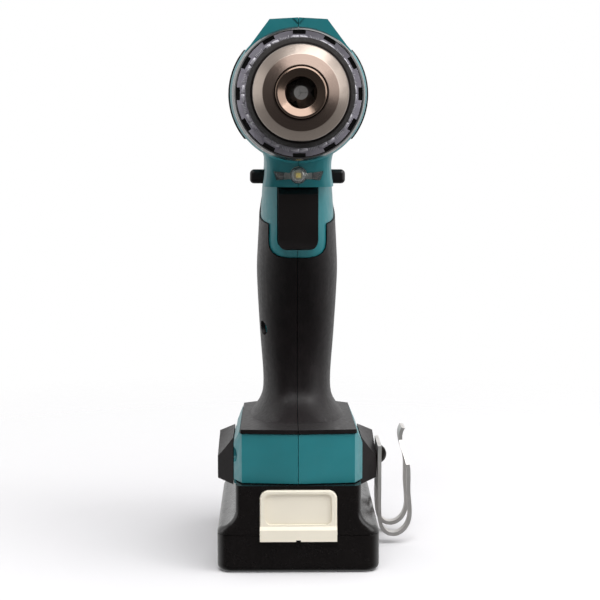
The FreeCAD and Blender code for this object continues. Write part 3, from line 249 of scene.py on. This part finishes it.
def drawn_metal(name, colour, roughness, stretch=(8, 8, 0.4), anisotropy=0.3, metallic=1.0):
    """Rolled or drawn metal: long fine scratches and a little tarnish."""
    n = Nodes(name)
    scratch = n.noise(900, 4, 0.7, stretch)
    tarnish = n.noise(110, 4)
    n.colour(n.blend(n.spread(tarnish, 0, 1), shade(colour, 0.82), shade(colour, 1.08)))
    n.rough(n.spread(scratch, roughness - 0.07, roughness + 0.12))
    n.bump([(scratch, 0.15, 0.00003)])
    n.set(Metallic=metallic, Anisotropic=anisotropy)
    return n.material


def clear_lens():
    """The lamp's clear plastic."""
    n = Nodes("lens")
    n.colour((0.93, 0.95, 0.95))
    n.rough(n.spread(n.noise(500, 3), 0.03, 0.09))
    n.bump([(n.noise(260, 2), 0.1, 0.0003)])
    n.set(Transmission_Weight=0.92, IOR=1.49)
    return n.material


def lamp_glow():
    """The phosphor of the work lamp's diode."""
    n = Nodes("phosphor")
    cells = n.noise(2600, 3)
    n.colour(n.blend(n.spread(cells, 0, 1), (0.75, 0.55, 0.06), (0.95, 0.83, 0.30)))
    n.rough(0.5)
    n.bump([(cells, 0.3, 0.00003)])
    n.set(Emission_Color=(1.0, 0.78, 0.25, 1), Emission_Strength=0.12)
    return n.material


def wrapped_cells():
    """Shrink-wrapped cells with bare nickel ends and straps."""
    n = Nodes("cell_wrap")
    split = n.add("ShaderNodeSeparateXYZ")
    n.link(n.place, split.inputs[0])
    ends = n.maths("GREATER_THAN", n.maths("ABSOLUTE", split.outputs["Y"]), CELL_WRAP_HALF)
    wrap = n.blend(n.spread(n.noise(300, 3), 0, 1), (0.05, 0.16, 0.33), (0.07, 0.21, 0.42))
    n.colour(n.blend(ends, wrap, (0.62, 0.60, 0.57)))
    n.link(ends, n.shader.inputs["Metallic"])
    n.rough(n.spread(n.noise(800, 3), 0.25, 0.4))
    n.bump([(n.noise(700, 2), 0.1, 0.00005)])
    return n.material


def ring_plastic():
    """Glossy black all round, with a smoky grey scale face in front."""
    n = Nodes("ring_plastic")
    radius, along = distance_from_spindle(n)
    inside_rim = n.maths("LESS_THAN", radius, SCALE_FACE_R)
    in_front = n.maths("LESS_THAN", along, RING_FRONT_Y + SCALE_FACE_DEPTH)
    on_face = n.maths("MULTIPLY", inside_rim, in_front)
    cloud = n.spread(n.noise(140, 4), 0, 1)
    face = n.blend(cloud, (0.30, 0.285, 0.33), (0.44, 0.42, 0.48))
    n.colour(n.blend(on_face, (0.0085, 0.0078, 0.0085), face))
    n.rough(n.spread(n.noise(700, 3), 0.16, 0.26))
    n.bump([(n.noise(300, 3), 0.12, 0.0002)])
    n.set(Coat_Weight=0.5, Coat_Roughness=0.12)
    return n.material


def make_materials():
    """One material for each of the record's slots. Colours are linear."""
    teal = (0.016, 0.190, 0.215)
    black = (0.0075, 0.0062, 0.0062)
    steel = (0.50, 0.48, 0.46)
    return {
        "housing": moulded("housing", teal, 0.36, 2400, 0.00003),
        "soft_grip": rubber("soft_grip", (0.0075, 0.0050, 0.0055), 0.48),
        "trigger_plastic": moulded(
            "trigger_plastic", (0.0125, 0.0092, 0.0092), 0.34, 3000, 0.00002
        ),
        "lever_plastic": moulded("lever_plastic", (0.0085, 0.0065, 0.0068), 0.36, 3000, 0.00002),
        "switch_plastic": moulded("switch_plastic", (0.012, 0.012, 0.013), 0.45),
        "ring_plastic": ring_plastic(),
        "sleeve_plastic": moulded(
            "sleeve_plastic", (0.0085, 0.0062, 0.0056), 0.62, 1100, 0.00050, Specular_IOR_Level=0.12
        ),
        "battery_plastic": moulded(
            "battery_plastic", (0.0055, 0.0042, 0.0040), 0.24, 2200, 0.000012
        ),
        "button_plastic": moulded(
            "button_plastic", (0.80, 0.745, 0.625), 0.42, 2600, 0.00002, 0.02
        ),
        "fan_plastic": moulded("fan_plastic", black, 0.5),
        "gear_plastic": moulded("gear_plastic", (0.55, 0.52, 0.46), 0.45),
        "lead_black": moulded("lead_black", black, 0.42),
        "board": moulded("board", (0.02, 0.12, 0.04), 0.35, 1200),
        "magnet": moulded("magnet", (0.045, 0.045, 0.047), 0.7, 900, 0.0002),
        "carbon": moulded("carbon", (0.03, 0.03, 0.03), 0.75, 900, 0.0002),
        "lamp": moulded("lamp", (0.86, 0.84, 0.76), 0.35),
        "cap_nickel": cap_metal(),
        "chuck_steel": turned_metal("chuck_steel", (0.21, 0.150, 0.118), 0.20, 0.00025),
        "jaw_steel": drawn_metal("jaw_steel", (0.80, 0.78, 0.76), 0.30, metallic=0.8),
        "gear_steel": drawn_metal("gear_steel", (0.42, 0.40, 0.385), 0.36),
        "ball_steel": turned_metal("ball_steel", (0.66, 0.65, 0.64), 0.16),
        "spring_steel": drawn_metal("spring_steel", (0.46, 0.45, 0.44), 0.30),
        "zinc_steel": turned_metal("zinc_steel", (0.56, 0.56, 0.53), 0.34),
        "dark_steel": drawn_metal("dark_steel", (0.045, 0.040, 0.038), 0.30),
        "hook_steel": drawn_metal(
            "hook_steel", (0.66, 0.635, 0.615), 0.36, (6, 6, 0.5), anisotropy=0.2, metallic=0.62
        ),
        "cast_alloy": moulded("cast_alloy", (0.5, 0.5, 0.5), 0.42, 700, 0.0001, Metallic=1.0),
        "motor_zinc": drawn_metal("motor_zinc", steel, 0.33, (1, 8, 1)),
        "core_steel": drawn_metal("core_steel", (0.30, 0.29, 0.28), 0.45, (1, 30, 1)),
        "copper": drawn_metal("copper", (0.62, 0.27, 0.13), 0.28),
        "lens": clear_lens(),
        "cell_wrap": wrapped_cells(),
    }


def dress_nodes(made):
    """Gives every CAD node the material of its slot in the record."""
    slots = {part["node"]: part["material_slot"] for part in frame["record"]["subparts"]}
    for name, node in frame["nodes"].items():
        node.data.materials.clear()
        node.data.materials.append(made[slots[name]])


# ------------------------------------------------------- edges of CAD pieces

SHARP_ANGLE = math.radians(32)
FLAT_ANGLE = math.radians(0.6)
WELD_DISTANCE = 0.002 * MM

# The width of each outer piece's rounded edges, in millimetres
SOFT_EDGES = {
    "battery_lower_case": 0.5,
    "battery_upper_case": 0.5,
    "battery_button": 0.45,
    "trigger": 0.5,
    "housing_left": 0.28,
    "housing_right": 0.28,
    "overmould_left": 0.34,
    "overmould_right": 0.34,
    "belt_hook": 0.3,
    "torque_ring": 0.3,
    "speed_selector": 0.25,
    "chuck_cap": 0.22,
    "chuck_body": 0.14,
    "chuck_sleeve": 0.2,
    "chuck_jaw_1": 0.22,
    "chuck_jaw_2": 0.22,
    "chuck_jaw_3": 0.22,
}


def finish_edges(node, width_mm):
    """Rounds a CAD piece's sharp edges a little and shades the rest smooth."""
    weld = node.modifiers.new("weld", "WELD")
    weld.merge_threshold = WELD_DISTANCE
    if width_mm:
        planar = node.modifiers.new("planar", "DECIMATE")
        planar.decimate_type = "DISSOLVE"
        planar.angle_limit = FLAT_ANGLE
        bevel = node.modifiers.new("bevel", "BEVEL")
        bevel.width = width_mm * MM
        bevel.segments = 2
        bevel.limit_method = "ANGLE"
        bevel.angle_limit = SHARP_ANGLE
    split = node.modifiers.new("split", "EDGE_SPLIT")
    split.split_angle = SHARP_ANGLE
    if width_mm:
        flat = node.modifiers.new("flat", "WEIGHTED_NORMAL")
        flat.keep_sharp = True
    for polygon in node.data.polygons:
        polygon.use_smooth = True


# ------------------------------------------------------------- mesh helpers


def add_piece(name, mesh, material, body):
    """A finished mesh in the scene, carried by a body."""
    piece = bpy.data.objects.new(name, mesh)
    bpy.context.scene.collection.objects.link(piece)
    mesh.materials.append(material)
    for polygon in mesh.polygons:
        polygon.use_smooth = True
    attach(piece, body)
    return piece


def mesh_from(name, bm):
    """A mesh made from a bmesh, with its faces turned outwards."""
    mesh = bpy.data.meshes.new(name)
    bmesh.ops.recalc_face_normals(bm, faces=bm.faces)
    bm.to_mesh(mesh)
    bm.free()
    return mesh


def extruded(bm, outline, direction):
    """A closed outline of vectors, made thick along a direction."""
    near = [bm.verts.new(p) for p in outline]
    far = [bm.verts.new(p + direction) for p in outline]
    bm.faces.new(near)
    bm.faces.new(reversed(far))
    for i in range(len(outline)):
        j = (i + 1) % len(outline)
        bm.faces.new((near[i], far[i], far[j], near[j]))


def bevel_all(bm, width):
    """Rounds every edge that turns by more than 30 degrees."""
    corner = math.radians(30)
    edges = [e for e in bm.edges if e.is_manifold and e.calc_face_angle(0) > corner]
    bmesh.ops.bevel(bm, geom=edges, offset=width, segments=2, profile=0.5, affect="EDGES")


def spindle_point(radius, angle, y):
    """A point at a radius and angle about the spindle, the angle counted from +X towards +Z."""
    return Vector((radius * math.cos(angle), y, SPINDLE_Z + radius * math.sin(angle)))


# ------------------------------------------------------- torque ring details

GRIPS = 12
FACE_OUTER_R = 22.3 * MM
FACE_OUTER_DEPTH = 0.1 * MM
FACE_SLOPE = 0.345

PAD_IN = 19.35 * MM
PAD_OUT = 20.55 * MM
PAD_HEIGHT = 0.35 * MM
PAD_THICK = 0.9 * MM
PAD_BEVEL = 0.16 * MM
PAD_SLIT_ANGLE = math.radians(0.35)
PAD_END_ANGLE = math.radians(9.0)
PAD_STEPS = 6
PAD_TAPER_START = 0.6
PAD_TAPER = 0.55

TICKS = 6
TICK_PITCH = math.radians(1.7)
TICK_IN = 19.45 * MM
TICK_LENGTH = 1.15 * MM
END_TICK_LENGTH = 1.5 * MM
TICK_HALF_WIDTH = 0.09 * MM
TICK_HEIGHT = 0.09 * MM
TICK_THICK = 0.3 * MM


def face_y(radius):
    """Where the ring's front face lies at a radius."""
    return RING_FRONT_Y + FACE_OUTER_DEPTH + (FACE_OUTER_R - radius) * FACE_SLOPE


def face_point(radius, angle, height):
    """A point that stands off the ring's front face by a height."""
    return spindle_point(radius, angle, face_y(radius) - height)


def half_pad(bm, centre, side):
    """Half of a rounded pad on the front face, on one side of the slit at its middle."""
    middle = (PAD_IN + PAD_OUT) / 2
    outer = []
    inner = []
    for i in range(PAD_STEPS + 1):
        part = i / PAD_STEPS
        angle = centre + side * (PAD_SLIT_ANGLE + (PAD_END_ANGLE - PAD_SLIT_ANGLE) * part)
        past_start = max(0.0, (part - PAD_TAPER_START) / (1 - PAD_TAPER_START))
        half = (PAD_OUT - PAD_IN) / 2 * (1 - PAD_TAPER * past_start**2)
        outer.append(face_point(middle + half, angle, PAD_HEIGHT))
        inner.append(face_point(middle - half, angle, PAD_HEIGHT))
    extruded(bm, outer + inner[::-1], Vector((0, PAD_THICK, 0)))


def ring_pads(material):
    """A pad in front of each grip."""
    bm = bmesh.new()
    for k in range(GRIPS):
        centre = 2 * math.pi * k / GRIPS
        half_pad(bm, centre, 1)
        half_pad(bm, centre, -1)
    bevel_all(bm, PAD_BEVEL)
    add_piece("ring_pads", mesh_from("ring_pads", bm), material, "torque_ring")


def tick(bm, angle, length):
    """One fine line that runs outwards on the front face."""
    across = Vector((-math.sin(angle), 0, math.cos(angle))) * TICK_HALF_WIDTH
    near = face_point(TICK_IN, angle, TICK_HEIGHT)
    far = face_point(TICK_IN + length, angle, TICK_HEIGHT)
    outline = [near - across, far - across, far + across, near + across]
    extruded(bm, outline, Vector((0, TICK_THICK, 0)))


def ring_ticks(material):
    """The fine scale lines between the pads, printed on the front face."""
    bm = bmesh.new()
    for k in range(GRIPS):
        middle = 2 * math.pi * (k + 0.5) / GRIPS
        for i in range(TICKS):
            at_end = i in (0, TICKS - 1)
            angle = middle + (i - (TICKS - 1) / 2) * TICK_PITCH
            tick(bm, angle, END_TICK_LENGTH if at_end else TICK_LENGTH)
    add_piece("ring_ticks", mesh_from("ring_ticks", bm), material, "torque_ring")


# --------------------------------------------------------------- lamp details


LAMP_Z = 151.7 * MM
PHOSPHOR_SIDE = 1.25 * MM
PHOSPHOR_THICK = 0.5 * MM
PHOSPHOR_Y = -43.4 * MM
PHOSPHOR_BEVEL = 0.12 * MM
CUP_THICK = 0.08 * MM
CUP_SIDES = 32

# The cup's radius and its place along Y, from its inner lip backwards, in millimetres
CUP_PROFILE = ((0.8, -43.25), (1.45, -43.35), (1.55, -43.1), (1.55, -42.6))


def lamp_phosphor(material):
    """The diode's yellow square, behind the lens."""
    bm = bmesh.new()
    bmesh.ops.create_cube(bm, size=1)
    bmesh.ops.scale(bm, vec=(PHOSPHOR_SIDE, PHOSPHOR_THICK, PHOSPHOR_SIDE), verts=bm.verts)
    bmesh.ops.translate(bm, vec=(0, PHOSPHOR_Y, LAMP_Z), verts=bm.verts)
    bevel_all(bm, PHOSPHOR_BEVEL)
    add_piece("lamp_phosphor", mesh_from("lamp_phosphor", bm), material, "housing")


def lamp_cup(material):
    """The bright cup around the diode."""
    bm = bmesh.new()
    rings = []
    for radius, y in CUP_PROFILE:
        ring = []
        for i in range(CUP_SIDES):
            a = 2 * math.pi * i / CUP_SIDES
            across = radius * MM * math.cos(a)
            up = LAMP_Z + radius * MM * math.sin(a)
            ring.append(bm.verts.new((across, y * MM, up)))
        rings.append(ring)
    for one, two in zip(rings, rings[1:]):
        for i in range(CUP_SIDES):
            j = (i + 1) % CUP_SIDES
            bm.faces.new((one[i], two[i], two[j], one[j]))
    piece = add_piece("lamp_cup", mesh_from("lamp_cup", bm), material, "housing")
    thick = piece.modifiers.new("thickness", "SOLIDIFY")
    thick.thickness = CUP_THICK


# ------------------------------------------------------------------- staging

# The camera's place in metres, its turn in radians, and the floor's sizes in metres
EYE = Vector((-0.008, -0.644, 0.176))
EYE_YAW = 0.0143
EYE_PITCH = 0.1176
LENS_MM = 96.8
FLOOR_HALF = 0.6
FLOOR_FADE_START = 0.10
FLOOR_FADE_END = 0.42


def make_camera():
    """The photograph's view."""
    data = bpy.data.cameras.new("camera")
    data.lens = LENS_MM
    data.sensor_width = 36.0
    data.clip_start = 0.05
    camera = bpy.data.objects.new("camera", data)
    camera.location = EYE
    camera.rotation_euler = Euler((math.pi / 2 - EYE_PITCH, 0, -EYE_YAW))
    bpy.context.scene.collection.objects.link(camera)
    bpy.context.scene.camera = camera


def area_light(name, place, target, size, power):
    """A white rectangle of light that faces a target."""
    data = bpy.data.lights.new(name, "AREA")
    data.shape = "RECTANGLE"
    data.size, data.size_y = size
    data.energy = power
    light = bpy.data.objects.new(name, data)
    light.location = place
    light.rotation_euler = (Vector(target) - Vector(place)).to_track_quat("-Z", "Y").to_euler()
    bpy.context.scene.collection.objects.link(light)


def make_world():
    """White to the eye. On the object it is bright from behind and dim from the front and below."""
    world = bpy.data.worlds.new("studio")
    bpy.context.scene.world = world
    world.use_nodes = True
    nodes = world.node_tree.nodes
    links = world.node_tree.links
    lit = nodes["Background"]
    seen = nodes.new("ShaderNodeBackground")
    for background in (lit, seen):
        background.inputs["Color"].default_value = (1, 1, 1, 1)
    direction = nodes.new("ShaderNodeTexCoord")
    split = nodes.new("ShaderNodeSeparateXYZ")
    links.new(direction.outputs["Generated"], split.inputs[0])
    strengths = []
    ramps = (("Y", -0.5, 0.45, 0.09, 0.9), ("Z", -0.6, 0.1, 0.7, 1.0))
    for axis, low, high, dim, bright in ramps:
        ramp = nodes.new("ShaderNodeMapRange")
        ramp.interpolation_type = "SMOOTHSTEP"
        ramp.inputs["From Min"].default_value = low
        ramp.inputs["From Max"].default_value = high
        ramp.inputs["To Min"].default_value = dim
        ramp.inputs["To Max"].default_value = bright
        links.new(split.outputs[axis], ramp.inputs["Value"])
        strengths.append(ramp.outputs["Result"])
    product = nodes.new("ShaderNodeMath")
    product.operation = "MULTIPLY"
    for source, socket in zip(strengths, product.inputs):
        links.new(source, socket)
    links.new(product.outputs[0], lit.inputs["Strength"])
    path = nodes.new("ShaderNodeLightPath")
    mix = nodes.new("ShaderNodeMixShader")
    links.new(path.outputs["Is Camera Ray"], mix.inputs[0])
    links.new(lit.outputs[0], mix.inputs[1])
    links.new(seen.outputs[0], mix.inputs[2])
    links.new(mix.outputs[0], nodes["World Output"].inputs["Surface"])


def make_floor():
    """A pale sheet that takes the shadow and thins out to nothing further off."""
    mesh = bpy.data.meshes.new("floor")
    corners = [(x * FLOOR_HALF, y * FLOOR_HALF, 0) for x, y in ((-1, -1), (1, -1), (1, 1), (-1, 1))]
    mesh.from_pydata(corners, [], [(0, 1, 2, 3)])
    floor = bpy.data.objects.new("floor", mesh)
    bpy.context.scene.collection.objects.link(floor)
    n = Nodes("floor")
    n.colour((0.70, 0.692, 0.705))
    n.rough(0.8)
    n.set(Specular_IOR_Level=0.0)
    length = n.add("ShaderNodeVectorMath", operation="LENGTH")
    n.link(n.place, length.inputs[0])
    away = n.spread(length.outputs["Value"], 0, 1, FLOOR_FADE_START, FLOOR_FADE_END)
    clear = n.add("ShaderNodeBsdfTransparent")
    mix = n.add("ShaderNodeMixShader")
    n.link(away, mix.inputs[0])
    n.link(n.shader.outputs[0], mix.inputs[1])
    n.link(clear.outputs[0], mix.inputs[2])
    n.link(mix.outputs[0], n.tree.nodes["Material Output"].inputs["Surface"])
    mesh.materials.append(n.material)
    floor.visible_glossy = False


def make_studio():
    """The world, the floor and three soft lights."""
    make_world()
    make_floor()
    area_light("top", (0.2, -0.5, 1.2), (0, 0, 0.1), (1.7, 1.2), 26)
    area_light("right", (1.2, -0.4, 0.55), (0, 0, 0.12), (0.9, 1.1), 7)
    area_light("left", (-1.3, 0.05, 0.4), (0, 0, 0.12), (0.6, 1.0), 1.6)
    bpy.context.scene.view_settings.view_transform = "Standard"


# ---------------------------------------------------------------------- main

make_camera()
materials = make_materials()
dress_nodes(materials)
for node_name, cad_node in frame["nodes"].items():
    finish_edges(cad_node, SOFT_EDGES.get(node_name, 0))
pad_plastic = moulded("ring_pad_plastic", (0.50, 0.485, 0.53), 0.2, 3200, 0.00001, 0.1, Coat_Weight=0.5)
tick_paint = moulded("tick_paint", (0.62, 0.61, 0.64), 0.45, 3000, 0.00001)
ring_pads(pad_plastic)
ring_ticks(tick_paint)
lamp_phosphor(lamp_glow())
lamp_cup(materials["zinc_steel"])
make_studio()
